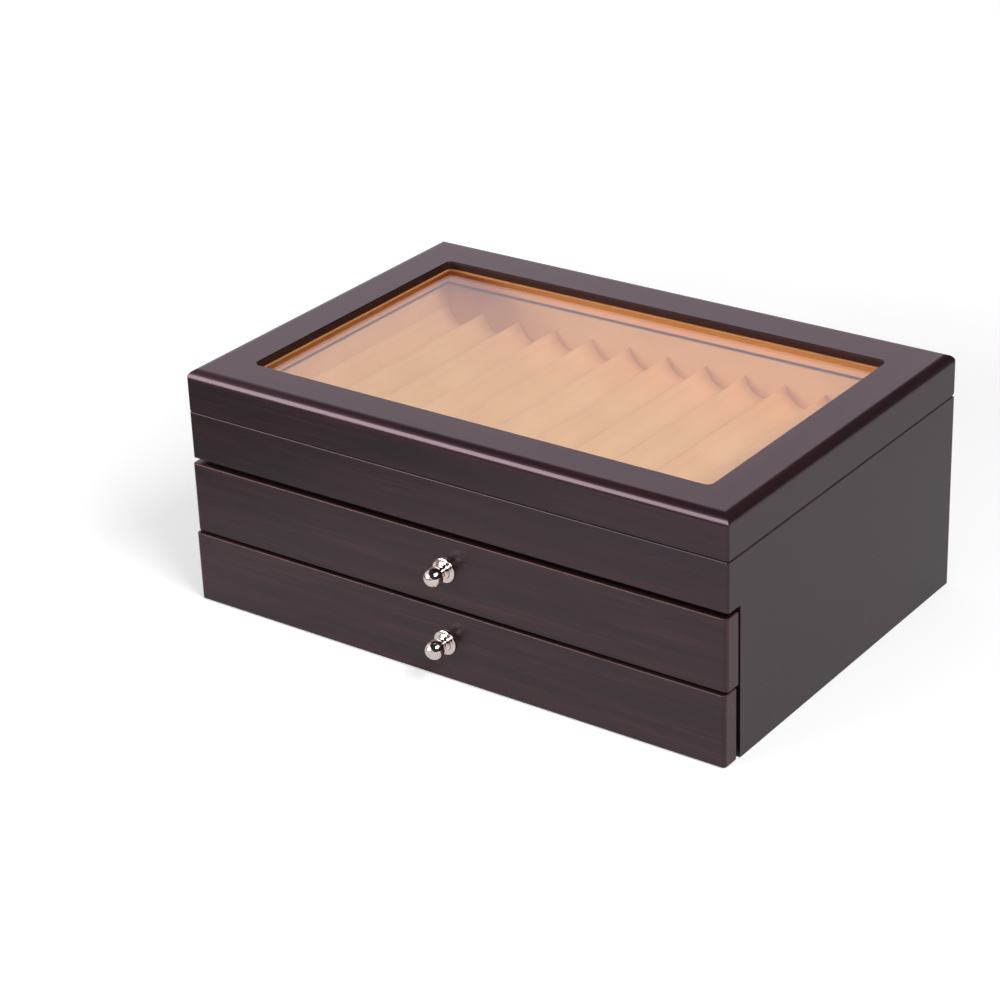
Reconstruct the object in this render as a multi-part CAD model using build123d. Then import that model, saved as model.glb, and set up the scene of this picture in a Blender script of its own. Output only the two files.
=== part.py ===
from build123d import *
from math import cos, radians, sin, sqrt
import os

# Display chest for pens: a glazed lid over a slotted tray, with two drawers below.
# Millimetres. X runs along the front, Y from front to back, Z up. The origin is the
# centre of the face that rests on the table.

# Overall sizes
chest_width = 310.0
chest_depth = 210.0
chest_height = 125.0
lid_height = 22.0

# Boards
board = 9.0                 # sides, back and rails of case and lid
deck_thickness = 3.0
divider_thickness = 4.0
bottom_thickness = 5.0
housing_depth = 3.0         # how far a shelf sits in the grooves of the boards round it
corner_radius = 1.0         # upright outer corners
arris = 0.8                 # broken edges along the seam between case and lid

# Front of the case
rail_height = 25.0          # front of the top compartment
front_setback = 10.0        # the sides stand back here to make room for the drawer fronts
deck_lap = 1.0              # the deck rises this far above the lower edge of the rail

# Lid
top_board = 6.0             # frame that carries the glass
top_rounding = 5.0
window_side_border = 24.0
window_front_border = 23.5
window_back_border = 26.0
window_corner = 3.0
lip_rounding = 0.8
glass_thickness = 2.0
glass_ledge = 6.0           # width of the rebate that the glass lies in
glass_clearance = 0.4
holder_thickness = 1.5      # covered frame under the glass
holder_margin = 0.6         # it stands back from the window by this much

# Back edges: the lid rolls on these two roundings until they meet, which stops it
lid_back_rounding = 4.0
case_back_rounding = 2.5
open_angle = 98.0
stop_clearance = 0.1

# Hinges
hinge_length = 28.0
hinge_inset = 65.0          # from a side of the chest to the middle of a hinge
knuckle_count = 3
knuckle_radius = 1.75
pin_radius = 0.75
leaf_thickness = 0.9
leaf_sink = 0.05            # leaves lie this far under the seam
leaf_margin = 2.0           # wood left between a leaf and the inside of its board
hinge_gap = 0.2             # clearance round the barrel and at the ends of a leaf
running_gap = 0.05          # pins in knuckles, shanks in holes
leaf_screw_spacing = 17.0
leaf_screw_shank = 0.8
leaf_screw_head = 1.35
leaf_screw_length = 6.0

# Linings and slotted inserts
lining = 1.0
seam_reveal = 0.85          # linings stop this far from the seam
soft_gap = 0.3
tray_slots = 12
drawer_slots = 10
tray_end_strip = 8.6        # flat top left at the right end of the tray, beyond its slots
slot_depth = 10.8
slot_floor = 1.0            # padding under the lowest line of a slot
ridge_land = 1.0            # flat left on top of the ridges

# Drawers
front_thickness = 9.5
front_top_gap = 2.5         # between the rail and the upper drawer
front_gap = 0.5             # between the two drawers
front_floor_gap = 0.5
front_rounding = 0.7
front_end_rounding = 2.0    # upright corners of a drawer front
shut_gap = 0.3              # between a shut front and the edges of the sides
upper_ajar = 1.5            # how far each drawer stands open at rest
lower_ajar = 3.2
drawer_side = 7.0
drawer_panel = 3.0
drawer_rebate = 3.0
drawer_back_gap = 3.3       # between a shut drawer and the back panel
side_clearance = 0.5
glide_gap = 0.3             # between a drawer and the shelf that it slides on
box_top_drop = 3.0          # drawer boxes stay this far below the top of their front

# Knobs
knob_rise = 1.0             # above the middle of the drawer front
ball_radius = 4.9
ball_centre = 8.6           # from the drawer front
collar_radius = 6.3
collar_rim = 0.6
collar_steps = 2
collar_step_in = 1.3
collar_step_out = 0.9
neck_radius = 2.3
knob_screw_shank = 1.9
knob_screw_head = 3.8
knob_screw_head_height = 2.2
knob_thread_depth = 6.5
counterbore_spare = 0.3

# Places that follow from the sizes above
left, right = -chest_width / 2, chest_width / 2
front, back = -chest_depth / 2, chest_depth / 2
seam = chest_height - lid_height
rail_bottom = seam - rail_height
deck_top = rail_bottom + deck_lap
top_board_bottom = chest_height - top_board
glass_top = top_board_bottom + glass_thickness
inside_half_width = right - board
inside_front, inside_back = front + board, back - board
side_edge = front + front_setback
front_height = (rail_bottom - front_top_gap - front_gap - front_floor_gap) / 2
lower_front_bottom = front_floor_gap
upper_front_bottom = front_floor_gap + front_height + front_gap
divider_middle = upper_front_bottom - front_gap / 2
divider_top = divider_middle + divider_thickness / 2
divider_bottom = divider_middle - divider_thickness / 2
far = 2 * (chest_width + chest_depth)   # longer than anything it cuts
overcut = board / 9                     # cutters start this far outside what they cut

parts = {}


def span(x0, x1, y0, y1, z0, z1):
    """A box between two opposite corners."""
    middle = Pos((x0 + x1) / 2, (y0 + y1) / 2, (z0 + z1) / 2)
    return middle * Box(x1 - x0, y1 - y0, z1 - z0)


def rod(radius, x0, x1, y, z):
    """A cylinder along X."""
    return Pos((x0 + x1) / 2, y, z) * Rot(0, 90, 0) * Cylinder(radius, x1 - x0)


def band(half_width, y0, y1, z0, z1, thickness):
    """Four walls inside a rectangle, open above and below."""
    outer = span(-half_width, half_width, y0, y1, z0, z1)
    return outer - span(-half_width + thickness, half_width - thickness,
                        y0 + thickness, y1 - thickness, z0 - overcut, z1 + overcut)


# Mitred boards ---------------------------------------------------------------

def walls(z0, z1, seam_end):
    """The four walls of case or lid as one ring, with its edge at the seam broken."""
    plan = RectangleRounded(chest_width, chest_depth, corner_radius)
    solid = Pos(0, 0, z0) * extrude(plan, z1 - z0)
    seam_face = solid.faces().sort_by(Axis.Z)[seam_end]
    solid = fillet(seam_face.outer_wire().edges(), arris)
    hollow = span(-inside_half_width, inside_half_width, inside_front, inside_back,
                  z0 - overcut, z1 + overcut)
    return solid - hollow


def mitre_wedge(side):
    """The part of the plan that belongs to one wall, cut at 45 degrees at both ends."""
    spare = board / 2
    half = {"front": right, "back": right, "left": back, "right": back}[side]
    reach = {"front": back, "back": back, "left": right, "right": right}[side]
    outline = Polygon((-half - spare, -reach - spare), (half + spare, -reach - spare),
                      (half - board - spare, -reach + board + spare),
                      (-half + board + spare, -reach + board + spare), align=None)
    turn = {"front": 0, "right": 90, "back": 180, "left": 270}[side]
    return extrude(Rot(0, 0, turn) * outline, far, both=True)


def back_edge_waste(radius, direction):
    """What a rounded back edge loses: a square corner less a quarter circle."""
    corner = Pos(back - radius / 2, seam + direction * radius / 2) * Rectangle(radius, radius)
    profile = corner - Pos(back - radius, seam + direction * radius) * Circle(radius)
    return extrude(Plane.YZ * profile, far, both=True)


def pin_inset():
    """Distance of the hinge pin from the back face.

    Seen from the side, the two rounded back edges are circles. The pin lies where
    turning the lid by the open angle brings them within the stop clearance."""
    turn = radians(open_angle)
    over = lid_back_rounding * (sin(turn) - cos(turn)) + case_back_rounding
    up = lid_back_rounding * (sin(turn) + cos(turn)) + case_back_rounding
    reach = lid_back_rounding + case_back_rounding + stop_clearance
    square = 2 * (1 - cos(turn))
    half_linear = over * (1 - cos(turn)) + up * sin(turn)
    rest = over ** 2 + up ** 2 - reach ** 2
    return (half_linear - sqrt(half_linear ** 2 - square * rest)) / square


pin_y = back - pin_inset()


# Hinges ----------------------------------------------------------------------

leaf_inner = inside_back + leaf_margin
barrel_recess = knuckle_radius + hinge_gap
leaf_screw_y = (leaf_inner + pin_y - barrel_recess) / 2
hinge_places = {"left": left + hinge_inset, "right": right - hinge_inset}
screw_offsets = (-leaf_screw_spacing / 2, leaf_screw_spacing / 2)


def hinge_mortise(x, direction):
    """Room for one leaf and half the barrel; direction is -1 in the case, +1 in the lid."""
    half = hinge_length / 2 + hinge_gap
    depth = leaf_thickness + leaf_sink
    lower, upper = sorted((seam, seam + direction * depth))
    room = span(x - half, x + half, leaf_inner - hinge_gap, pin_y, lower, upper)
    room += rod(barrel_recess, x - half, x + half, pin_y, seam)
    for offset in screw_offsets:
        length = leaf_sink + leaf_screw_length + hinge_gap
        bore = Cylinder(leaf_screw_shank + running_gap, length)
        room += Pos(x + offset, leaf_screw_y, seam + direction * length / 2) * bore
    return room


def leaf_screw(gap=0.0):
    """A countersunk wood screw, head up, its flat at the origin."""
    head, shank = leaf_screw_head + gap, leaf_screw_shank + gap
    tip = leaf_screw_length
    profile = Polygon((0, 0), (head, 0), (shank, -(head - shank)), (shank, -tip + 2 * shank),
                      (0, -tip), align=None)
    return revolve(Plane.XZ * profile, Axis.Z)


def place_leaf_screws(screw, x, direction):
    """Both screws of one leaf, turned over in the lid."""
    flat = seam + direction * leaf_sink
    turn = Rot(0, 0, 0) if direction < 0 else Rot(180, 0, 0)
    return [Pos(x + offset, leaf_screw_y, flat) * turn * screw for offset in screw_offsets]


def hinge_leaf(x, direction):
    """A leaf with its share of the knuckles: the outer ones stay with the case."""
    start, pitch = x - hinge_length / 2, hinge_length / knuckle_count
    lower, upper = sorted((seam + direction * leaf_sink,
                           seam + direction * (leaf_sink + leaf_thickness)))
    leaf = span(start, start + hinge_length, leaf_inner, pin_y, lower, upper)
    own = 0 if direction < 0 else 1
    for knuckle in range(knuckle_count):
        x0, x1 = start + knuckle * pitch, start + (knuckle + 1) * pitch
        if knuckle % 2 == own:
            leaf += rod(knuckle_radius, x0 + running_gap, x1 - running_gap, pin_y, seam)
        else:
            leaf -= rod(barrel_recess, x0 - running_gap, x1 + running_gap, pin_y, seam)
    leaf -= rod(pin_radius + running_gap, start - overcut, start + hinge_length + overcut,
                pin_y, seam)
    for hole in place_leaf_screws(leaf_screw(running_gap), x, direction):
        leaf -= hole
    return leaf


def make_hinges():
    for name, x in hinge_places.items():
        parts[f"{name}_hinge_case_leaf"] = hinge_leaf(x, -1)
        parts[f"{name}_hinge_lid_leaf"] = hinge_leaf(x, 1)
    pins, case_screws, lid_screws = [], [], []
    for x in hinge_places.values():
        pins.append(rod(pin_radius, x - hinge_length / 2, x + hinge_length / 2, pin_y, seam))
        case_screws += place_leaf_screws(leaf_screw(), x, -1)
        lid_screws += place_leaf_screws(leaf_screw(), x, 1)
    parts["hinge_pins"] = Compound(children=pins)
    parts["case_hinge_screws"] = Compound(children=case_screws)
    parts["lid_hinge_screws"] = Compound(children=lid_screws)


# Case ------------------------------------------------------------------------

def make_case():
    sunk = inside_half_width + housing_depth
    deck = span(-sunk, sunk, inside_front - housing_depth, inside_back + housing_depth,
                deck_top - deck_thickness, deck_top)
    divider = span(-sunk, sunk, side_edge, inside_back + housing_depth,
                   divider_bottom, divider_top)
    bottom = span(-sunk, sunk, side_edge, inside_back + housing_depth, 0, bottom_thickness)
    ring = walls(0, seam, -1) - back_edge_waste(case_back_rounding, -1)
    drawer_room = span(-far, far, front - overcut, side_edge, -overcut, rail_bottom)
    for shelf in (deck, divider, bottom):
        ring -= shelf
    ring -= drawer_room
    for x in hinge_places.values():
        ring -= hinge_mortise(x, -1)
    parts["left_side_panel"] = ring & mitre_wedge("left")
    parts["right_side_panel"] = ring & mitre_wedge("right")
    parts["back_panel"] = ring & mitre_wedge("back")
    parts["front_rail"] = ring & mitre_wedge("front")
    parts["tray_deck"] = deck
    parts["drawer_divider"] = divider
    parts["bottom_panel"] = bottom
    parts["case_lining"] = band(inside_half_width, inside_front, inside_back,
                                deck_top, seam - seam_reveal, lining)
    room = inside_half_width - lining - soft_gap
    parts["top_tray_insert"] = slotted_insert(room, inside_front + lining + soft_gap,
                                              inside_back - lining - soft_gap, deck_top, tray_slots,
                                              tray_end_strip)


def slotted_insert(half_width, y0, y1, floor, slots, end_strip=0.0):
    """A padded tray whose slots are arcs that meet in narrow ridges."""
    pitch = (2 * half_width - end_strip) / slots
    chord = pitch - ridge_land
    radius = (chord ** 2 / 4 + slot_depth ** 2) / (2 * slot_depth)
    height = slot_floor + slot_depth
    profile = Pos(0, floor + height / 2) * Rectangle(2 * half_width, height)
    for slot in range(slots):
        middle = -half_width + (slot + 0.5) * pitch
        profile -= Pos(middle, floor + slot_floor + radius) * Circle(radius)
    solid = extrude(Plane.XZ * profile, (y1 - y0) / 2, both=True)
    return Pos(0, (y0 + y1) / 2, 0) * solid


# Lid -------------------------------------------------------------------------

def rounded_top(width):
    """Cross-section of the top board: square below, rounded above."""
    section = Pos(0, top_board_bottom + top_board / 2) * Rectangle(width, top_board)
    return fillet(section.vertices().group_by(Axis.Y)[-1], top_rounding)


def lid_frame():
    """The top board: rounded edges that meet in a mitre, a window and a rebate under it."""
    across = extrude(Plane.XZ * rounded_top(chest_width), chest_depth / 2, both=True)
    along = extrude(Plane.YZ * rounded_top(chest_depth), chest_width / 2, both=True)
    plan = RectangleRounded(chest_width, chest_depth, corner_radius)
    slab = across & along & (Pos(0, 0, top_board_bottom) * extrude(plan, top_board))
    window_width = chest_width - 2 * window_side_border
    window_depth = chest_depth - window_front_border - window_back_border
    opening = Pos(0, window_middle, 0) * RectangleRounded(window_width, window_depth, window_corner)
    slab -= Pos(0, 0, top_board_bottom - overcut) * extrude(opening, top_board + 2 * overcut)
    lip = slab.faces().sort_by(Axis.Z)[-1].inner_wires()[0].edges()
    slab = fillet(lip, lip_rounding)
    return slab - glass_box(glass_ledge)


window_middle = (window_front_border - window_back_border) / 2


def glass_box(ledge):
    """The window's outline widened by a ledge, as thick as the glass."""
    half_width = chest_width / 2 - window_side_border + ledge
    return span(-half_width, half_width, front + window_front_border - ledge,
                back - window_back_border + ledge, top_board_bottom, glass_top)


def make_lid():
    parts["lid_top_frame"] = lid_frame()
    parts["lid_glass"] = glass_box(glass_ledge - glass_clearance)
    ring = walls(seam, top_board_bottom, 0) - back_edge_waste(lid_back_rounding, 1)
    for x in hinge_places.values():
        ring -= hinge_mortise(x, 1)
    for side in ("front", "back", "left", "right"):
        parts[f"lid_{side}_rail"] = ring & mitre_wedge(side)
    holder_bottom = top_board_bottom - holder_thickness
    half_width = right - window_side_border + holder_margin
    holder = span(-inside_half_width, inside_half_width, inside_front, inside_back,
                  holder_bottom, top_board_bottom)
    holder -= span(-half_width, half_width, front + window_front_border - holder_margin,
                   back - window_back_border + holder_margin, holder_bottom - overcut, chest_height)
    parts["glass_holder"] = holder
    parts["lid_lining"] = band(inside_half_width, inside_front, inside_back,
                               seam + seam_reveal, holder_bottom, lining)


# Drawers ---------------------------------------------------------------------

def knob_profile():
    """Half of the turned knob: a collar of bevelled steps, a neck and a ball."""
    radius, out = collar_radius, collar_rim
    outline = [(0, ball_centre), (0, 0), (radius, 0), (radius, out)]
    for step in range(collar_steps):
        outline += [(radius - collar_step_in / 2, out + collar_step_out)]
        radius, out = radius - collar_step_in, out + collar_step_out
        outline += [(radius, out)]
    ball_foot = ball_centre - sqrt(ball_radius ** 2 - neck_radius ** 2)
    outline += [(neck_radius, out), (neck_radius, ball_foot)]
    curve = Polyline(*outline)
    curve += ThreePointArc((neck_radius, ball_foot), (ball_radius, ball_centre),
                           (0, ball_centre + ball_radius))
    curve += Line((0, ball_centre + ball_radius), (0, ball_centre))
    return make_face(curve)


def knob():
    """The knob on a face at the origin, standing out towards -Y, with its threaded hole."""
    solid = revolve(Rot(180, 0, 0) * knob_profile(), Axis.Y)
    depth = knob_thread_depth + hinge_gap
    thread = Cylinder(knob_screw_shank + running_gap, 2 * depth)
    return solid - Rot(90, 0, 0) * thread


def front_bore(face_y, z, shank, head, sink):
    """Hole and counterbore through a drawer front, or the screw that fills them."""
    rear = face_y + front_thickness
    through = Cylinder(shank, front_thickness - sink)
    recess = Cylinder(head, sink)
    return (Pos(0, face_y + (front_thickness - sink) / 2, z) * Rot(90, 0, 0) * through
            + Pos(0, rear - sink / 2, z) * Rot(90, 0, 0) * recess)


def knob_screw(face_y, z):
    """Pan head screw from the back of the front into the knob."""
    seat = face_y + front_thickness - knob_screw_head_height - counterbore_spare
    shank = Cylinder(knob_screw_shank, seat - face_y + knob_thread_depth)
    head = Cylinder(knob_screw_head, knob_screw_head_height)
    return (Pos(0, (seat + face_y - knob_thread_depth) / 2, z) * Rot(90, 0, 0) * shank
            + Pos(0, seat + knob_screw_head_height / 2, z) * Rot(90, 0, 0) * head)


def drawer_front(face_y, bottom, knob_z):
    """Overlay front with rounded ends, broken edges and the bore for its knob screw."""
    slab = span(left, right, face_y, face_y + front_thickness, bottom, bottom + front_height)
    slab = fillet(slab.edges().filter_by(Axis.Z).group_by(Axis.Y)[0], front_end_rounding)
    for end in (0, -1):
        outline = slab.faces().sort_by(Axis.Z)[end].outer_wire().edges()
        slab = fillet(outline, front_rounding)
    sink = knob_screw_head_height + counterbore_spare
    return slab - front_bore(face_y, knob_z, knob_screw_shank + hinge_gap,
                             knob_screw_head + counterbore_spare, sink)


def make_drawer(name, front_bottom, shelf, ajar):
    face_y = side_edge - shut_gap - front_thickness - ajar
    box_front, box_back = face_y + front_thickness, inside_back - drawer_back_gap - ajar
    box_bottom = shelf + glide_gap
    box_top = front_bottom + front_height - box_top_drop
    half = inside_half_width - side_clearance
    inner = half - drawer_side
    panel_half = inner + drawer_rebate
    panel_back = box_back - drawer_side + drawer_rebate
    panel = span(-panel_half, panel_half, box_front, panel_back, box_bottom, box_bottom + drawer_panel)
    back_board = span(-panel_half, panel_half, box_back - drawer_side, box_back, box_bottom, box_top)
    knob_z = front_bottom + front_height / 2 + knob_rise

    parts[f"{name}_front"] = drawer_front(face_y, front_bottom, knob_z)
    for side, x0, x1 in (("left", -half, -inner), ("right", inner, half)):
        board_side = span(x0, x1, box_front, box_back, box_bottom, box_top)
        parts[f"{name}_{side}_side"] = board_side - panel - back_board
    parts[f"{name}_back"] = back_board - panel
    parts[f"{name}_bottom"] = panel
    floor = box_bottom + drawer_panel
    parts[f"{name}_lining"] = band(inner, box_front, box_back - drawer_side,
                                   floor, box_top - seam_reveal, lining)
    parts[f"{name}_insert"] = slotted_insert(inner - lining - soft_gap, box_front + lining + soft_gap,
                                             box_back - drawer_side - lining - soft_gap,
                                             floor, drawer_slots)
    parts[f"{name}_knob"] = Pos(0, face_y, knob_z) * knob()
    parts[f"{name}_knob_screw"] = knob_screw(face_y, knob_z)


make_case()
make_lid()
make_hinges()
make_drawer("upper_drawer", upper_front_bottom, divider_top, upper_ajar)
make_drawer("lower_drawer", lower_front_bottom, bottom_thickness, lower_ajar)

os.makedirs("parts", exist_ok=True)
for node, shape in parts.items():
    export_step(shape, f"parts/{node}.step")
print(len(parts), "nodes; hinge pin", round(pin_inset(), 3), "mm inside the back face")
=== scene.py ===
import math

import bmesh
import bpy
from mathutils import Euler, Matrix, Vector


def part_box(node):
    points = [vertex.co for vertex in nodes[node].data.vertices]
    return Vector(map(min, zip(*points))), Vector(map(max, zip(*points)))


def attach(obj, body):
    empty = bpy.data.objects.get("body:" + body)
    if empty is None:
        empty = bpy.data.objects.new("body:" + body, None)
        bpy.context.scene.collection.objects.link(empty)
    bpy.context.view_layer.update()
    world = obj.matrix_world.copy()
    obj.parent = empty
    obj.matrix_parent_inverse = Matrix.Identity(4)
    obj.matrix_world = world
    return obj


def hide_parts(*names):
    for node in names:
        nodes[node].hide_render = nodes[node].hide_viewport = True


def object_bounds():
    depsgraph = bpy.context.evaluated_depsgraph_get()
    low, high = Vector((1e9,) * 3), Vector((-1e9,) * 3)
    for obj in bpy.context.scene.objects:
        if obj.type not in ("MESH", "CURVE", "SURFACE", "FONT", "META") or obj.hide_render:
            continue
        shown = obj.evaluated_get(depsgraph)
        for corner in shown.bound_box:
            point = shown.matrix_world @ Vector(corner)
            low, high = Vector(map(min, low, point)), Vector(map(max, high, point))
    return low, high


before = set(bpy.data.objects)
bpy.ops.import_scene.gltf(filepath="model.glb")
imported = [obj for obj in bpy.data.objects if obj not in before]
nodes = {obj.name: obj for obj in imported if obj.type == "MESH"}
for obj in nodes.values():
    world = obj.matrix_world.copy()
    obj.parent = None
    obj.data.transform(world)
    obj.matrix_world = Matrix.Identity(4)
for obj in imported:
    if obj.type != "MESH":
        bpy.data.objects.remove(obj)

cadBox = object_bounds()
mm = 0.001
print("frame loaded:", len(nodes), "nodes")


# small helpers

def hexColour(code):
    channels = [int(code[i:i + 2], 16) / 255 for i in (1, 3, 5)]
    linear = [c / 12.92 if c <= 0.04045 else ((c + 0.055) / 1.055) ** 2.4 for c in channels]
    return (*linear, 1)


def addNode(tree, kind, values=None, links=None, **settings):
    made = tree.nodes.new(kind)
    for name, value in settings.items():
        setattr(made, name, value)
    for socket, value in (values or {}).items():
        made.inputs[socket].default_value = value
    for socket, source in (links or {}).items():
        tree.links.new(source, made.inputs[socket])
    return made


def startMaterial(name, values):
    material = bpy.data.materials.new(name)
    material.use_nodes = True
    tree = material.node_tree
    tree.nodes.clear()
    shader = addNode(tree, "ShaderNodeBsdfPrincipled", values)
    addNode(tree, "ShaderNodeOutputMaterial", links={"Surface": shader.outputs["BSDF"]})
    return material, tree, shader


def addRamp(tree, source, stops):
    ramp = addNode(tree, "ShaderNodeValToRGB", links={"Fac": source})
    points = ramp.color_ramp.elements
    points[0].position, points[0].color = stops[0]
    points[1].position, points[1].color = stops[-1]
    for place, colour in stops[1:-1]:
        points.new(place).color = colour
    return ramp.outputs["Color"]


def startPiece(name):
    piece = bpy.context.object
    piece.name = piece.data.name = name
    bpy.ops.object.transform_apply(location=True, rotation=True, scale=True)
    return piece


def only(piece):
    bpy.ops.object.select_all(action="DESELECT")
    piece.select_set(True)
    bpy.context.view_layer.objects.active = piece


def edit(mode):
    bpy.ops.object.mode_set(mode="EDIT")
    bpy.ops.mesh.select_mode(type=mode)
    bpy.ops.mesh.select_all(action="DESELECT")


def pick(piece, test):
    # selects vertices, edges or faces by test(middle, normal), after edit();
    # an edge has no normal and passes the vector along itself instead
    bpy.ops.mesh.select_all(action="DESELECT")
    mesh = bmesh.from_edit_mesh(piece.data)
    mesh.normal_update()
    kind = "verts" if "VERT" in mesh.select_mode else "edges" if "EDGE" in mesh.select_mode else "faces"
    for part in getattr(mesh, kind):
        if kind == "verts":
            middle, normal = part.co, part.normal
        elif kind == "edges":
            middle, normal = (part.verts[0].co + part.verts[1].co) / 2, part.verts[1].co - part.verts[0].co
        else:
            middle, normal = part.calc_center_median(), part.normal
        if test(middle, normal):
            part.select = True
    mesh.select_flush_mode()
    bmesh.update_edit_mesh(piece.data)


def done():
    bpy.ops.object.mode_set(mode="OBJECT")


def applyModifier(piece, kind, **settings):
    only(piece)
    modifier = piece.modifiers.new(kind.title(), kind)
    for name, value in settings.items():
        setattr(modifier, name, value)
    bpy.ops.object.modifier_apply(modifier=modifier.name)


def facesOut(piece, mergeBelow=0.00001):
    only(piece)
    edit("VERT")
    bpy.ops.mesh.select_all(action="SELECT")
    bpy.ops.mesh.remove_doubles(threshold=mergeBelow)
    bpy.ops.mesh.normals_make_consistent(inside=False)
    done()


def smooth(piece, sharpAbove):
    only(piece)
    bpy.ops.object.shade_smooth_by_angle(angle=math.radians(sharpAbove))


def dress(piece, material, slot, body, *replaced):
    piece.data.materials.clear()
    piece.data.materials.append(material)
    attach(piece, body)
    if replaced:
        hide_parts(*replaced)


# camera, at the photograph's angle

view = {"turn": 36.655, "tilt": 64.051, "roll": -2.248, "place": (720.85, -1029.11, 662.93),
        "lens": 101.14, "sensor": 36.0}

cameraData = bpy.data.cameras.new("camera")
cameraData.lens, cameraData.sensor_width = view["lens"], view["sensor"]
camera = bpy.data.objects.new("camera", cameraData)
bpy.context.scene.collection.objects.link(camera)
facing = [Matrix.Rotation(math.radians(view[key]), 4, axis)
          for key, axis in (("turn", "Z"), ("tilt", "X"), ("roll", "Z"))]
camera.matrix_world = (Matrix.Translation(Vector(view["place"]) * mm) @ facing[0] @ facing[1] @ facing[2])
bpy.context.scene.camera = camera
bpy.context.scene.view_settings.view_transform = "Standard"


# room: white surroundings, soft lamps, white floor that keeps the shadow

room = {
    "floor": 2.0, "floorColour": "#e6e6e6", "floorRoughness": 0.9, "floorGloss": 0.2,
    "seenGlow": 0.36, "farGlow": 1.0, "farFrom": 0.35, "farTo": 0.9,
    "ambient": 0.32, "mirrored": "#fff3fc", "mirroredGlow": 0.04,
    "horizon": 0.04, "horizonTop": 0.05,
    "ceiling": 0.04, "ceilingLean": (0.6, 0.0, 1.0), "wallTop": (0.2, 0.42),
    "dimmed": "#6a6a6a", "dimmedTowards": (-1.0, -1.0, 0.0), "dimmedFrom": 0.2, "dimmedTo": 0.42,
}
lamps = {
    "frontBox": {"from": (-0.85, -1.34, 0.52), "width": 0.85, "height": 0.85, "power": 20.0},
    "rightBox": {"from": (0.99, -0.4, 1.18), "width": 0.7, "height": 0.7, "power": 16.5},
}

world = bpy.data.worlds.new("whiteRoom")
bpy.context.scene.world = world
world.use_nodes = True
tree = world.node_tree
tree.nodes.clear()
rays = addNode(tree, "ShaderNodeLightPath")
# gloss and metal mirror white walls above a dark horizon, below a dim ceiling that comes lower on the right
towards = addNode(tree, "ShaderNodeTexCoord")
lean = Vector(room["ceilingLean"]).normalized()
height = addNode(tree, "ShaderNodeVectorMath", {1: lean}, {0: towards.outputs["Generated"]},
                 operation="DOT_PRODUCT")
walls = addNode(tree, "ShaderNodeMapRange", {"From Min": room["wallTop"][0], "From Max": room["wallTop"][1],
                                             "To Min": 1.0, "To Max": room["ceiling"]},
                {"Value": height.outputs["Value"]}, interpolation_type="SMOOTHSTEP")
upward = addNode(tree, "ShaderNodeSeparateXYZ", links={"Vector": towards.outputs["Generated"]}).outputs[2]
above = addNode(tree, "ShaderNodeMapRange", {"From Max": room["horizonTop"], "To Min": room["horizon"]},
                {"Value": upward})
walls = addNode(tree, "ShaderNodeMath", links={0: walls.outputs[0], 1: above.outputs[0]}, operation="MULTIPLY")
level = addNode(tree, "ShaderNodeMix", {2: room["ambient"]}, {0: rays.outputs["Is Glossy Ray"],
                                                              3: walls.outputs[0]})
for kind in ("Is Camera Ray", "Is Transmission Ray"):
    level = addNode(tree, "ShaderNodeMath", links={0: level.outputs[0], 1: rays.outputs[kind]},
                    operation="MAXIMUM")
# and the walls are faintly lavender in it
hue = addNode(tree, "ShaderNodeMix", {6: (1, 1, 1, 1), 7: hexColour(room["mirrored"])},
              {0: rays.outputs["Is Glossy Ray"]}, data_type="RGBA")
light = addNode(tree, "ShaderNodeBackground", links={"Color": hue.outputs[2], "Strength": level.outputs[0]})
addNode(tree, "ShaderNodeOutputWorld", links={"Surface": light.outputs[0]})

# matt paper sweep: plain white, it only adds its glow where it is looked at or mirrored
floorPaper, tree, shader = startMaterial("mattPaper", {"Roughness": room["floorRoughness"],
                                                      "Specular IOR Level": room["floorGloss"]})
rays = addNode(tree, "ShaderNodeLightPath")
seen = addNode(tree, "ShaderNodeMath", links={0: rays.outputs["Is Camera Ray"],
                                              1: rays.outputs["Is Transmission Ray"]}, operation="MAXIMUM")
place = addNode(tree, "ShaderNodeTexCoord")
away = addNode(tree, "ShaderNodeVectorMath", links={0: place.outputs["Object"]}, operation="LENGTH")
near = addNode(tree, "ShaderNodeMapRange", {"From Min": room["farFrom"], "From Max": room["farTo"],
                                            "To Min": room["seenGlow"], "To Max": room["farGlow"]},
               {"Value": away.outputs["Value"]}, interpolation_type="SMOOTHSTEP")
seen = addNode(tree, "ShaderNodeMath", links={0: seen.outputs[0], 1: near.outputs[0]}, operation="MULTIPLY")
mirrored = addNode(tree, "ShaderNodeMath", {1: room["mirroredGlow"]}, {0: rays.outputs["Is Glossy Ray"]},
                   operation="MULTIPLY")
glow = addNode(tree, "ShaderNodeMath", links={0: seen.outputs[0], 1: mirrored.outputs[0]}, operation="MAXIMUM")
# in a mirror the paper falls off into the dark of the room towards the front left
aside = addNode(tree, "ShaderNodeVectorMath", {1: Vector(room["dimmedTowards"]).normalized()},
                {0: place.outputs["Object"]}, operation="DOT_PRODUCT")
aside = addNode(tree, "ShaderNodeMapRange", {"From Min": room["dimmedFrom"], "From Max": room["dimmedTo"]},
                {"Value": aside.outputs["Value"]}, interpolation_type="SMOOTHSTEP")
dim = addNode(tree, "ShaderNodeMath", links={0: aside.outputs[0], 1: rays.outputs["Is Glossy Ray"]},
              operation="MULTIPLY")
paper = addNode(tree, "ShaderNodeMix", {6: hexColour(room["floorColour"]), 7: hexColour(room["dimmed"])},
                {0: dim.outputs[0]}, data_type="RGBA")
tree.links.new(paper.outputs[2], shader.inputs["Base Color"])
shader.inputs["Emission Color"].default_value = (1, 1, 1, 1)
tree.links.new(glow.outputs[0], shader.inputs["Emission Strength"])

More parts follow.
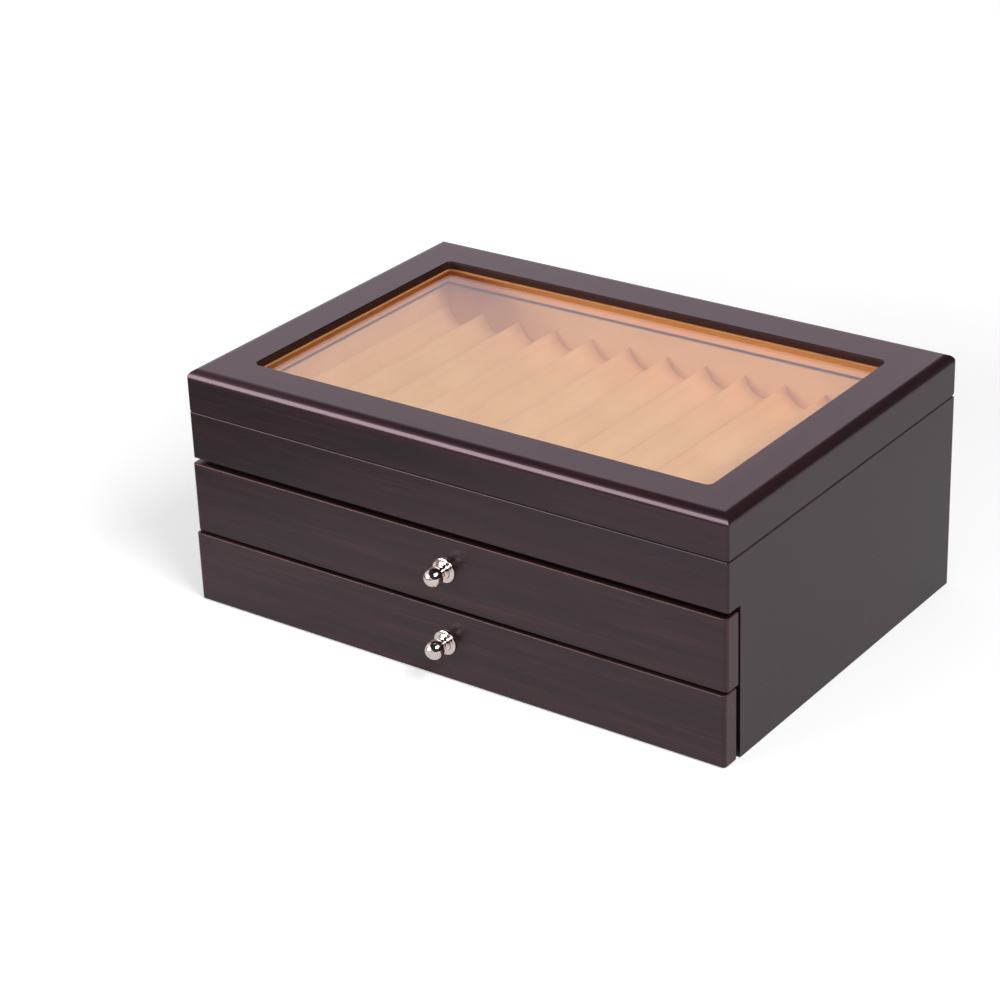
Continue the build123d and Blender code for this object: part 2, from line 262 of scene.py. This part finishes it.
bpy.ops.object.select_all(action="DESELECT")
bpy.ops.mesh.primitive_plane_add(size=room["floor"])
floor = startPiece("floor")
floor.data.materials.append(floorPaper)

for name, lamp in lamps.items():
    data = bpy.data.lights.new(name, "AREA")
    data.shape, data.size, data.size_y, data.energy = "RECTANGLE", lamp["width"], lamp["height"], lamp["power"]
    made = bpy.data.objects.new(name, data)
    bpy.context.scene.collection.objects.link(made)
    made.location = lamp["from"]
    made.rotation_euler = (-Vector(lamp["from"])).to_track_quat("-Z", "Y").to_euler()
print("camera, floor and lamps ready")


# dark lacquered veneer: the outside of the chest

# the under colour is a painted shade, laid on faces that turn downwards
caseVeneer = {
    "dark": "#161012", "red": "#2a1718", "end": "#221417", "under": "#0c0808", "tint": "#fae2f2",
    "poreLength": 45.0, "poreWidth": 0.8, "poreDepth": 0.02, "poreStrength": 0.35,
    "bandLength": 140.0, "bandWidth": 9.0, "grainRoughness": 0.55,
    "streaks": (0.15, 0.42),
    "roughness": 0.22, "roughnessSpread": 0.08, "gloss": 0.5,
    "wornEdge": "#472a20", "wornShare": 0.6, "patchesPerMetre": 90.0, "patchy": (0.32, 0.55),
    "mattRoughness": 0.55, "mattGloss": 0.15,
    "inner": "#3c2420", "innerReach": (0.147, 0.097),
}
drawerVeneer = dict(caseVeneer, dark="#171011", red="#2e191a", end="#361c1c", bandWidth=7.0, poreWidth=1.1,
                    wornEdge="#5c3a2d", wornShare=0.8)

# parts of a face's normal between which each mask goes from nothing to full
slopes = {"rising": (0.25, 0.5), "falling": (-0.12, -0.5), "level": (0.7, 0.4), "rounded": (0.96, 0.8),
          "endFace": (0.6, 0.85)}


def grainNoise(tree, coordinates, length, width, along, detail, roughness):
    # a noise stretched along the grain; Noise cells are about one unit wide
    scale = [1 / (width * mm)] * 3
    scale[along] = 1 / (length * mm)
    placed = addNode(tree, "ShaderNodeMapping", {"Scale": scale}, {"Vector": coordinates})
    return addNode(tree, "ShaderNodeTexNoise", {"Scale": 1.0, "Detail": detail, "Roughness": roughness},
                   {"Vector": placed.outputs[0]}).outputs["Fac"]


def veneerPattern(tree, coordinates, look, along):
    rough = look["grainRoughness"]
    pores = grainNoise(tree, coordinates, look["poreLength"], look["poreWidth"], along, 3.0, rough)
    bands = grainNoise(tree, coordinates, look["bandLength"], look["bandWidth"], along, 2.0, rough)
    both = addNode(tree, "ShaderNodeMath", links={0: pores, 1: bands}, operation="MULTIPLY")
    return pores, both.outputs[0]


# semi-gloss lacquer over stained veneer: nearly black, with faint red-brown streaks along the grain
# and a sheen that the white room turns to lavender grey
def lacqueredVeneer(name, look, along, cornersMitred=False):
    material, tree, shader = startMaterial(name, {"IOR": 1.5, "Roughness": look["roughness"],
                                                  "Specular Tint": hexColour(look["tint"])})
    place = addNode(tree, "ShaderNodeTexCoord")
    coordinates = place.outputs["Object"]
    pores, streaks = veneerPattern(tree, coordinates, look, along)
    if cornersMitred:
        # grain turns at the corners, along a line at 45 degrees from the outer corner
        poresAcross, streaksAcross = veneerPattern(tree, coordinates, look, 1 - along)
        axes = addNode(tree, "ShaderNodeSeparateXYZ", links={"Vector": coordinates})
        sizes = [addNode(tree, "ShaderNodeMath", links={0: axes.outputs[i]}, operation="ABSOLUTE").outputs[0]
                 for i in (0, 1)]
        offset = cadBox[1].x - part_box("lid_top_frame")[1].y
        ahead = addNode(tree, "ShaderNodeMath", links={0: sizes[0], 1: sizes[1]}, operation="SUBTRACT")
        ahead = addNode(tree, "ShaderNodeMath", {1: offset}, {0: ahead.outputs[0]}, operation="SUBTRACT")
        turned = addNode(tree, "ShaderNodeMath", {1: 0.0}, {0: ahead.outputs[0]}, operation="GREATER_THAN")
        pores = addNode(tree, "ShaderNodeMix", links={0: turned.outputs[0], 2: pores, 3: poresAcross}).outputs[0]
        streaks = addNode(tree, "ShaderNodeMix",
                          links={0: turned.outputs[0], 2: streaks, 3: streaksAcross}).outputs[0]
    colour = addRamp(tree, streaks, [(look["streaks"][0], hexColour(look["dark"])),
                                     (look["streaks"][1], hexColour(look["red"]))])

    # rounded upper edges are rubbed to a copper brown in patches; faces turned downwards get a painted shade, the
    # under colour, near black and with less gloss
    upward = addNode(tree, "ShaderNodeSeparateXYZ", links={"Vector": place.outputs["Normal"]}).outputs[2]
    rising = addNode(tree, "ShaderNodeMapRange", {"From Min": slopes["rising"][0],
                                                  "From Max": slopes["rising"][1]}, {"Value": upward})
    under = addNode(tree, "ShaderNodeMapRange", {"From Min": slopes["falling"][0],
                                                 "From Max": slopes["falling"][1]}, {"Value": upward})
    facing = addNode(tree, "ShaderNodeVectorMath", links={0: place.outputs["Normal"]}, operation="ABSOLUTE")
    parts = addNode(tree, "ShaderNodeSeparateXYZ", links={"Vector": facing.outputs[0]})
    most = addNode(tree, "ShaderNodeMath", links={0: parts.outputs[0], 1: parts.outputs[1]}, operation="MAXIMUM")
    most = addNode(tree, "ShaderNodeMath", links={0: most.outputs[0], 1: parts.outputs[2]}, operation="MAXIMUM")
    onEdge = addNode(tree, "ShaderNodeMapRange", {"From Min": slopes["rounded"][0],
                                                  "From Max": slopes["rounded"][1]}, {"Value": most.outputs[0]})
    patches = addNode(tree, "ShaderNodeTexNoise", {"Scale": look["patchesPerMetre"], "Detail": 2.0},
                      {"Vector": coordinates})
    patchy = addNode(tree, "ShaderNodeMapRange", {"From Min": look["patchy"][0], "From Max": look["patchy"][1],
                                                  "To Min": look["wornShare"] / 2, "To Max": look["wornShare"]},
                     {"Value": patches.outputs["Fac"]})
    rubbed = addNode(tree, "ShaderNodeMath", links={0: onEdge.outputs[0], 1: rising.outputs[0]},
                     operation="MULTIPLY")
    worn = addNode(tree, "ShaderNodeMath", links={0: rubbed.outputs[0], 1: patchy.outputs[0]},
                   operation="MULTIPLY")
    # the end faces, square to X, show end grain
    ends = addNode(tree, "ShaderNodeMapRange", {"From Min": slopes["endFace"][0],
                                                "From Max": slopes["endFace"][1]}, {"Value": parts.outputs[0]})
    mixed = addNode(tree, "ShaderNodeMix", {7: hexColour(look["end"])}, {0: ends.outputs[0], 6: colour},
                    data_type="RGBA")
    mixed = addNode(tree, "ShaderNodeMix", {7: hexColour(look["wornEdge"])},
                    {0: worn.outputs[0], 6: mixed.outputs[2]}, data_type="RGBA")
    # painted shade: faces turned downwards are mixed to the under colour
    mixed = addNode(tree, "ShaderNodeMix", {7: hexColour(look["under"])},
                    {0: under.outputs[0], 6: mixed.outputs[2]}, data_type="RGBA")

    rough = addNode(tree, "ShaderNodeMapRange", {"To Min": look["roughness"],
                                                 "To Max": look["roughness"] + look["roughnessSpread"]},
                    {"Value": pores})
    if cornersMitred:
        matt = under    # the lid's rounded edge keeps its gloss
    else:
        matt = addNode(tree, "ShaderNodeMath", links={0: rubbed.outputs[0], 1: under.outputs[0]},
                       operation="MAXIMUM")
    # faces inside the case and the lid are stained, without a gloss coat
    extent = addNode(tree, "ShaderNodeVectorMath", {1: (1 / look["innerReach"][0], 1 / look["innerReach"][1], 0)},
                     {0: coordinates}, operation="MULTIPLY")
    extent = addNode(tree, "ShaderNodeVectorMath", links={0: extent.outputs[0]}, operation="ABSOLUTE")
    extent = addNode(tree, "ShaderNodeSeparateXYZ", links={"Vector": extent.outputs[0]})
    inside = addNode(tree, "ShaderNodeMath", links={0: extent.outputs[0], 1: extent.outputs[1]},
                     operation="MAXIMUM")
    inside = addNode(tree, "ShaderNodeMath", {1: 1.0}, {0: inside.outputs[0]}, operation="LESS_THAN")
    level = addNode(tree, "ShaderNodeMapRange", {"From Min": slopes["level"][0],
                                                 "From Max": slopes["level"][1]}, {"Value": upward})
    inside = addNode(tree, "ShaderNodeMath", links={0: inside.outputs[0], 1: level.outputs[0]},
                     operation="MULTIPLY")
    mixed = addNode(tree, "ShaderNodeMix", {7: hexColour(look["inner"])},
                    {0: inside.outputs[0], 6: mixed.outputs[2]}, data_type="RGBA")
    matt = addNode(tree, "ShaderNodeMath", links={0: matt.outputs[0], 1: inside.outputs[0]},
                   operation="MAXIMUM")
    tree.links.new(mixed.outputs[2], shader.inputs["Base Color"])
    rough = addNode(tree, "ShaderNodeMix", {3: look["mattRoughness"]}, {0: matt.outputs[0], 2: rough.outputs[0]})
    tree.links.new(rough.outputs[0], shader.inputs["Roughness"])
    gloss = addNode(tree, "ShaderNodeMapRange", {"To Min": look["gloss"], "To Max": look["mattGloss"]},
                    {"Value": matt.outputs[0]})
    tree.links.new(gloss.outputs[0], shader.inputs["Specular IOR Level"])
    bump = addNode(tree, "ShaderNodeBump", {"Strength": look["poreStrength"],
                                            "Distance": look["poreDepth"] * mm}, {"Height": pores})
    tree.links.new(bump.outputs[0], shader.inputs["Normal"])
    return material


alongX, alongY = 0, 1
caseAcross = lacqueredVeneer("lacqueredVeneerFront", caseVeneer, alongX)
caseDeep = lacqueredVeneer("lacqueredVeneerSide", caseVeneer, alongY)
# on the lid top the under colour is a painted shade in brown, on the downward faces of the window opening
lidTopVeneer = dict(caseVeneer, dark="#20151a", red="#301b1e", tint="#ffdcec", roughness=0.17, wornShare=0.0,
                    under="#2c1710", inner="#301a13", innerReach=(0.145, 0.095))
lidTop = lacqueredVeneer("lacqueredVeneerTop", lidTopVeneer, alongX, cornersMitred=True)
drawerFace = lacqueredVeneer("lacqueredVeneerDrawer", drawerVeneer, alongX)

# stained softwood and thin board inside: matt, dull brown black
innerStain = dict(caseVeneer, dark="#1d1516", red="#33221e", inner="#281c1a", roughness=0.62,
                  roughnessSpread=0.15, poreDepth=0.05, wornShare=0.0)
innerAcross = lacqueredVeneer("stainedBoardAcross", innerStain, alongX)
innerDeep = lacqueredVeneer("stainedBoardDeep", innerStain, alongY)

finishes = {
    caseAcross: ["back_panel", "front_rail", "lid_front_rail", "lid_back_rail"],
    caseDeep: ["left_side_panel", "right_side_panel", "lid_left_rail", "lid_right_rail"],
    lidTop: ["lid_top_frame"],
    drawerFace: ["upper_drawer_front", "lower_drawer_front"],
    innerAcross: ["tray_deck", "drawer_divider", "bottom_panel"]
                 + [f"{drawer}_drawer_{board}" for drawer in ("upper", "lower") for board in ("back", "bottom")],
    innerDeep: [f"{drawer}_drawer_{board}_side" for drawer in ("upper", "lower") for board in ("left", "right")],
}


# float glass: clear, its reflection of the white room is the haze over the tray
glassLook = {"colour": "#f7fbf9", "reflection": "#ffdcdf"}
glassSheet, tree, shader = startMaterial("floatGlass", {"Base Color": hexColour(glassLook["colour"]), "IOR": 1.5,
                                                        "Specular Tint": hexColour(glassLook["reflection"]),
                                                        "Roughness": 0.0, "Transmission Weight": 1.0})
output = next(n for n in tree.nodes if n.type == "OUTPUT_MATERIAL")
rays = addNode(tree, "ShaderNodeLightPath")
clear = addNode(tree, "ShaderNodeBsdfTransparent")
through = addNode(tree, "ShaderNodeMath", links={0: rays.outputs["Is Shadow Ray"],
                                                 1: rays.outputs["Is Diffuse Ray"]}, operation="MAXIMUM")
paneMix = addNode(tree, "ShaderNodeMixShader", links={0: through.outputs[0], 1: shader.outputs[0],
                                                      2: clear.outputs[0]})
tree.links.new(paneMix.outputs[0], output.inputs["Surface"])
finishes[glassSheet] = ["lid_glass"]


# metals: polished nickel plate on the knobs, satin brass hinges, zinc plated screws
def metal(name, colour, roughness, spread, grainSize):
    material, tree, shader = startMaterial(name, {"Base Color": hexColour(colour), "Metallic": 1.0,
                                                  "Roughness": roughness})
    place = addNode(tree, "ShaderNodeTexCoord")
    haze = addNode(tree, "ShaderNodeTexNoise", {"Scale": 1 / (grainSize * mm), "Detail": 3.0},
                   {"Vector": place.outputs["Object"]})
    rough = addNode(tree, "ShaderNodeMapRange", {"To Min": roughness, "To Max": roughness + spread},
                    {"Value": haze.outputs["Fac"]})
    tree.links.new(rough.outputs[0], shader.inputs["Roughness"])
    bump = addNode(tree, "ShaderNodeBump", {"Strength": 0.1, "Distance": 0.01 * mm},
                   {"Height": haze.outputs["Fac"]})
    tree.links.new(bump.outputs[0], shader.inputs["Normal"])
    return material


nickelPlate = metal("polishedNickelPlate", "#dccdc8", 0.05, 0.05, 2.0)
satinBrass = metal("satinBrass", "#c8a45e", 0.3, 0.15, 0.6)
zincPlate = metal("zincPlatedSteel", "#b9bbbd", 0.28, 0.15, 0.5)
finishes[satinBrass] = ["hinge_pins"] + [f"{side}_hinge_{part}_leaf" for side in ("left", "right")
                                         for part in ("case", "lid")]

for material, names in finishes.items():
    for name in names:
        nodes[name].data.materials.clear()
        nodes[name].data.materials.append(material)
print("boards, glass and hinges finished")


# camel velvet: short pile, warm in the folds, with a painted highlight, paler, where the slots rise steeply to
# their ridges;
# the pile is drawn coarser than it is, so that it shows
# crest is the colour of that painted highlight
velvetLook = {"light": "#e7b780", "deep": "#dda96c", "pile": 0.45, "pileDepth": 0.15, "patch": 40.0,
              "sheen": 0.3, "sheenRoughness": 0.45, "sheenTint": "#ffe3c4", "crest": "#f2c8a2",
              "crestHighlightShare": 0.7, "crestHighlightSlope": (0.9, 0.995), "blotches": (0.36, 0.64),
              "pileShare": 0.35, "pileStrength": 0.4, "roughness": 0.85, "gloss": 0.2}


def velvet(name, look):
    material, tree, shader = startMaterial(name, {"Roughness": look["roughness"], "IOR": 1.45,
                                                  "Specular IOR Level": look["gloss"],
                                                  "Sheen Weight": look["sheen"],
                                                  "Sheen Roughness": look["sheenRoughness"],
                                                  "Sheen Tint": hexColour(look["sheenTint"])})
    coordinates = addNode(tree, "ShaderNodeTexCoord")
    place = coordinates.outputs["Object"]
    pile = addNode(tree, "ShaderNodeTexNoise", {"Scale": 1 / (look["pile"] * mm), "Detail": 2.0},
                   {"Vector": place})
    patch = addNode(tree, "ShaderNodeTexNoise", {"Scale": 1 / (look["patch"] * mm), "Detail": 3.0},
                    {"Vector": place})
    blend = addNode(tree, "ShaderNodeMix", {0: look["pileShare"]},
                    {2: patch.outputs["Fac"], 3: pile.outputs["Fac"]})
    colour = addRamp(tree, blend.outputs[0], [(look["blotches"][0], hexColour(look["deep"])),
                                              (look["blotches"][1], hexColour(look["light"]))])
    # painted highlight: paler where a slot rises steeply to its ridge
    across = addNode(tree, "ShaderNodeVectorMath", links={0: coordinates.outputs["Normal"]}, operation="ABSOLUTE")
    across = addNode(tree, "ShaderNodeSeparateXYZ", links={"Vector": across.outputs[0]})
    crestHighlight = addNode(tree, "ShaderNodeMapRange", {"From Min": look["crestHighlightSlope"][0],
                                                 "From Max": look["crestHighlightSlope"][1],
                                                 "To Max": look["crestHighlightShare"]}, {"Value": across.outputs[0]})
    colour = addNode(tree, "ShaderNodeMix", {7: hexColour(look["crest"])}, {0: crestHighlight.outputs[0], 6: colour},
                     data_type="RGBA").outputs[2]
    tree.links.new(colour, shader.inputs["Base Color"])
    bump = addNode(tree, "ShaderNodeBump", {"Strength": look["pileStrength"],
                                            "Distance": look["pileDepth"] * mm}, {"Height": pile.outputs["Fac"]})
    tree.links.new(bump.outputs[0], shader.inputs["Normal"])
    return material


camelVelvet = velvet("camelVelvet", dict(velvetLook, crestHighlightShare=0.0))
trayVelvet = velvet("camelVelvetTray", velvetLook)
# painted light: the lid lining gets a brighter, more orange copy of the camel velvet, standing in for light
# bounced between the velvet walls in the shade of the lid; the glass holder gets a darker copy of that, a painted
# shade where it catches more light
bouncedLightLook = dict(velvetLook, light="#f0b06c", deep="#e8a25e", sheenTint="#ffd2a0", crestHighlightShare=0.0)
bouncedLightVelvet = velvet("bouncedLightVelvet", bouncedLightLook)
shadedHolderVelvet = velvet("bouncedLightVelvetShaded", dict(bouncedLightLook, light="#e8a066", deep="#da9258"))

# slotted trays: foam under velvet, arcs that meet in narrow ridges
tray = {"columns": 24, "rows": 36, "land": 1.0, "depth": 10.4, "unevenness": 0.15, "lumpSize": 40.0,
        "endStrip": 8.6, "edgeRadius": 0.4, "pressedIn": 0.25}


def makeTray(name, node, body, slots, strip=0.0):
    low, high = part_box(node)
    pitch, length = (high.x - low.x - strip) / slots, high.y - low.y + 2 * tray["pressedIn"] * mm
    crest = high.z
    middle = (low.x + pitch / 2, (low.y + high.y) / 2, crest)
    bpy.ops.object.select_all(action="DESELECT")
    bpy.ops.mesh.primitive_grid_add(x_subdivisions=tray["columns"], y_subdivisions=tray["rows"], size=1,
                                    location=middle)
    piece = startPiece(name)
    edit("VERT")
    bpy.ops.mesh.select_all(action="SELECT")
    bpy.ops.transform.resize(value=(pitch, length, 1), center_override=middle)
    half = (pitch - tray["land"] * mm) / 2
    depth = tray["depth"] * mm
    radius = (half ** 2 + depth ** 2) / (2 * depth)
    for column in range(tray["columns"] + 1):
        x = (column / tray["columns"] - 0.5) * pitch
        if abs(x) < half:
            drop = depth - radius + math.sqrt(radius ** 2 - x ** 2)
            pick(piece, lambda p, n: abs(p.x - middle[0] - x) < pitch / tray["columns"] / 3)
            bpy.ops.transform.translate(value=(0, 0, -drop))
    done()
    applyModifier(piece, "ARRAY", count=slots, use_relative_offset=False, use_constant_offset=True,
                  constant_offset_displace=(pitch, 0, 0), use_merge_vertices=True, merge_threshold=0.01 * mm)
    if strip:
        edit("EDGE")
        pick(piece, lambda p, n: p.x > high.x - strip - 0.1 * mm and abs(n.x) < 1e-6)
        bpy.ops.mesh.extrude_region_move(TRANSFORM_OT_translate={"value": (strip, 0, 0)})
        done()
    clouds = bpy.data.textures.new(name + "Lumps", "CLOUDS")
    clouds.noise_scale = tray["lumpSize"] * mm
    applyModifier(piece, "DISPLACE", texture=clouds, direction="Z", strength=tray["unevenness"] * mm,
                  mid_level=1.0, texture_coords="LOCAL")
    edit("EDGE")
    bpy.ops.mesh.select_non_manifold(extend=False)
    bpy.ops.mesh.extrude_region_move(TRANSFORM_OT_translate={"value": (0, 0, low.z - crest)})
    bpy.ops.transform.resize(value=(1, 1, 0), center_override=(0, 0, low.z))
    bpy.ops.mesh.edge_face_add()
    done()
    facesOut(piece)
    applyModifier(piece, "BEVEL", width=tray["edgeRadius"] * mm, segments=2, limit_method="ANGLE",
                  angle_limit=math.radians(50))
    smooth(piece, 40)
    dress(piece, trayVelvet, "camel_velvet", body, node)


makeTray("topTray", "top_tray_insert", "case", 12, tray["endStrip"] * mm)
makeTray("upperDrawerTray", "upper_drawer_insert", "upper_drawer", 10)
makeTray("lowerDrawerTray", "lower_drawer_insert", "lower_drawer", 10)
print("slotted trays made")


# wall linings: one strip of velvet glued round the four boards, its free edge rolled over
liningLook = {"thickness": 1.0, "cornerRadius": 1.2, "edgeRadius": 0.3}


def makeLining(name, node, body, cloth):
    low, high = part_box(node)
    size = high - low
    bpy.ops.object.select_all(action="DESELECT")
    bpy.ops.mesh.primitive_cube_add(size=1, location=(low + high) / 2)
    piece = bpy.context.object
    piece.dimensions = size
    piece = startPiece(name)
    edit("FACE")
    pick(piece, lambda p, n: abs(n.z) > 0.9)
    bpy.ops.mesh.delete(type="FACE")
    bpy.ops.mesh.select_mode(type="EDGE")
    pick(piece, lambda p, n: abs(n.z) > size.z / 2)
    bpy.ops.mesh.bevel(offset=liningLook["cornerRadius"] * mm, segments=4, affect="EDGES")
    done()
    applyModifier(piece, "SOLIDIFY", thickness=liningLook["thickness"] * mm, offset=-1.0, use_even_offset=True)
    facesOut(piece)
    applyModifier(piece, "BEVEL", width=liningLook["edgeRadius"] * mm, segments=3, limit_method="ANGLE",
                  angle_limit=math.radians(60))
    smooth(piece, 40)
    dress(piece, cloth, "camel_velvet", body, node)


makeLining("caseLiningCloth", "case_lining", "case",
           camelVelvet)
# the lid lining's orange velvet copy is painted bounced light
makeLining("lidLiningCloth", "lid_lining", "lid",
           bouncedLightVelvet)
for drawer in ("upper_drawer", "lower_drawer"):
    makeLining(drawer.replace("_d", "D") + "LiningCloth", f"{drawer}_lining", drawer,
               camelVelvet)

# velvet covered frame that holds the glass from below
holder = {"side": 14.4, "front": 13.9, "back": 16.4, "edgeRadius": 0.6}
low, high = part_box("glass_holder")
bpy.ops.object.select_all(action="DESELECT")
bpy.ops.mesh.primitive_plane_add(size=1, location=((low.x + high.x) / 2, (low.y + high.y) / 2, high.z))
bpy.context.object.dimensions = (high.x - low.x, high.y - low.y, 0)
glassFrame = startPiece("glassHolderCloth")
edit("FACE")
bpy.ops.mesh.select_all(action="SELECT")
bpy.ops.mesh.inset(thickness=holder["side"] * mm)
bpy.ops.mesh.delete(type="FACE")
bpy.ops.mesh.select_mode(type="VERT")
for side, border, sign in (("front", holder["front"], -1), ("back", holder["back"], 1)):
    pick(glassFrame, lambda p, n: sign * p.y > 0 and abs(p.x) < high.x - holder["side"] / 2 * mm)
    bpy.ops.transform.translate(value=(0, sign * (holder["side"] - border) * mm, 0))
done()
applyModifier(glassFrame, "SOLIDIFY", thickness=high.z - low.z, offset=-1.0)
facesOut(glassFrame)
applyModifier(glassFrame, "BEVEL", width=holder["edgeRadius"] * mm, segments=3, limit_method="ANGLE",
              angle_limit=math.radians(60))
smooth(glassFrame, 40)
# the holder's darker velvet copy is a painted shade
dress(glassFrame, shadedHolderVelvet, "camel_velvet", "lid", "glass_holder")
print("linings made")


# turned knob: flange, two rings, neck and ball, as (radius, distance from the drawer front)
knob = {"profile": [(6.0, 0.0), (6.3, 0.2), (6.3, 0.6), (6.2, 0.82), (5.95, 0.96), (5.2, 1.12), (4.4, 1.3),
                    (4.2, 1.42), (4.15, 1.85), (4.0, 2.1), (3.7, 2.22), (2.9, 2.4), (2.55, 2.65), (2.35, 3.1),
                    (2.3, 3.7)],
        "ballRadius": 4.9, "ballCentre": 8.6, "ballSteps": 18, "sides": 64}


def makeKnob(name, node, body):
    low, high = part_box(node)
    axis = Vector(((low.x + high.x) / 2, high.y, (low.z + high.z) / 2))
    foot = math.asin(knob["profile"][-1][0] / knob["ballRadius"])
    rings = list(knob["profile"])
    for step in range(knob["ballSteps"]):
        angle = foot + (math.pi - foot) * step / knob["ballSteps"]
        rings.append((knob["ballRadius"] * math.sin(angle),
                      knob["ballCentre"] - knob["ballRadius"] * math.cos(angle)))
    radius, out = rings[0]
    bpy.ops.object.select_all(action="DESELECT")
    bpy.ops.mesh.primitive_circle_add(vertices=knob["sides"], radius=radius * mm, fill_type="NGON",
                                      location=axis, rotation=(math.pi / 2, 0, 0))
    piece = startPiece(name)
    edit("FACE")
    bpy.ops.mesh.select_all(action="SELECT")
    for nextRadius, nextOut in rings[1:]:
        bpy.ops.mesh.extrude_region_move(TRANSFORM_OT_translate={"value": (0, -(nextOut - out) * mm, 0)})
        bpy.ops.transform.resize(value=(nextRadius / radius, 1, nextRadius / radius),
                                 center_override=(axis.x, axis.y - nextOut * mm, axis.z))
        radius, out = nextRadius, nextOut
    bpy.ops.mesh.extrude_region_move(TRANSFORM_OT_translate={
        "value": (0, -(knob["ballCentre"] + knob["ballRadius"] - out) * mm, 0)})
    bpy.ops.mesh.merge(type="CENTER")
    done()
    facesOut(piece)
    smooth(piece, 35)
    dress(piece, nickelPlate, "nickel", body, node)


makeKnob("upperKnob", "upper_drawer_knob", "upper_drawer")
makeKnob("lowerKnob", "lower_drawer_knob", "lower_drawer")
print("knobs turned")


# screws: a head with a cross recess on a plain shank with a point; sizes in mm, head up at the origin;
# rounding is a share of the rim, point a share of the shank's radius
hingeScrew = {"head": 1.35, "rim": 0.0, "cone": 0.55, "shank": 0.8, "length": 6.0, "cross": 1.6, "slot": 0.3,
              "sunk": 0.45, "sides": 24, "spacing": 17.0, "point": 0.15}
knobScrew = {"head": 3.8, "rim": 2.2, "cone": 0.0, "shank": 1.9, "length": 15.7, "cross": 4.2, "slot": 0.8,
             "sunk": 1.3, "sides": 32, "rounding": 0.45, "point": 0.15}


def makeScrew(look, spot, turn):
    bpy.ops.object.select_all(action="DESELECT")
    bpy.ops.mesh.primitive_circle_add(vertices=look["sides"], radius=look["head"] * mm, fill_type="NGON")
    screw = bpy.context.object
    edit("FACE")
    bpy.ops.mesh.select_all(action="SELECT")
    radius = look["head"]
    body = look["length"] - look["rim"] - look["cone"] - look["shank"]
    for deeper, nextRadius in ((look["rim"], radius), (look["cone"], look["shank"]), (body, look["shank"]),
                               (look["shank"], look["shank"] * look["point"])):
        bpy.ops.mesh.extrude_region_move(TRANSFORM_OT_translate={"value": (0, 0, -deeper * mm)})
        bpy.ops.transform.resize(value=(nextRadius / radius, nextRadius / radius, 1))
        radius = nextRadius
    done()
    facesOut(screw)
    if look["rim"]:
        edit("EDGE")
        pick(screw, lambda p, n: abs(p.z) < 1e-6 and p.length > 0.9 * look["head"] * mm)
        bpy.ops.mesh.bevel(offset=look["rim"] * look["rounding"] * mm, segments=4, affect="EDGES")
        done()
    for arm in (0, 1):
        bpy.ops.object.select_all(action="DESELECT")
        bpy.ops.mesh.primitive_cube_add(size=1, rotation=(0, 0, arm * math.pi / 2))
        cutter = bpy.context.object
        cutter.scale = (look["cross"] * mm, look["slot"] * mm, 2 * look["sunk"] * mm)
        bpy.ops.object.transform_apply(location=True, rotation=True, scale=True)
        applyModifier(screw, "BOOLEAN", operation="DIFFERENCE", solver="EXACT", object=cutter)
        bpy.data.objects.remove(cutter)
    screw.rotation_euler, screw.location = turn, spot
    only(screw)
    bpy.ops.object.transform_apply(location=True, rotation=True, scale=True)
    smooth(screw, 30)
    return screw


def joinScrews(name, screws, material, slot, body, node):
    only(screws[0])
    for screw in screws:
        screw.select_set(True)
    if len(screws) > 1:
        bpy.ops.object.join()
    piece = bpy.context.object
    piece.name = piece.data.name = name
    dress(piece, material, slot, body, node)


for name, node, body, top in (("caseHingeScrews", "case_hinge_screws", "case", 1),
                              ("lidHingeScrews", "lid_hinge_screws", "lid", 0)):
    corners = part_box(node)
    outer = corners[1].x - hingeScrew["head"] * mm
    inner = outer - hingeScrew["spacing"] * mm
    flips = Euler((0, 0, 0) if top else (math.pi, 0, 0))
    spots = [Vector((x, (corners[0].y + corners[1].y) / 2, corners[top].z))
             for x in (-outer, -inner, inner, outer)]
    joinScrews(name, [makeScrew(hingeScrew, spot, flips) for spot in spots],
               satinBrass, "brass", body, node)
for drawer in ("upper", "lower"):
    node = f"{drawer}_drawer_knob_screw"
    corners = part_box(node)
    spot = Vector((0, corners[1].y, (corners[0].z + corners[1].z) / 2))
    joinScrews(drawer + "KnobScrew", [makeScrew(knobScrew, spot, Euler((-math.pi / 2, 0, 0)))],
               zincPlate, "zinc_steel", drawer + "_drawer", node)
print("screws placed")
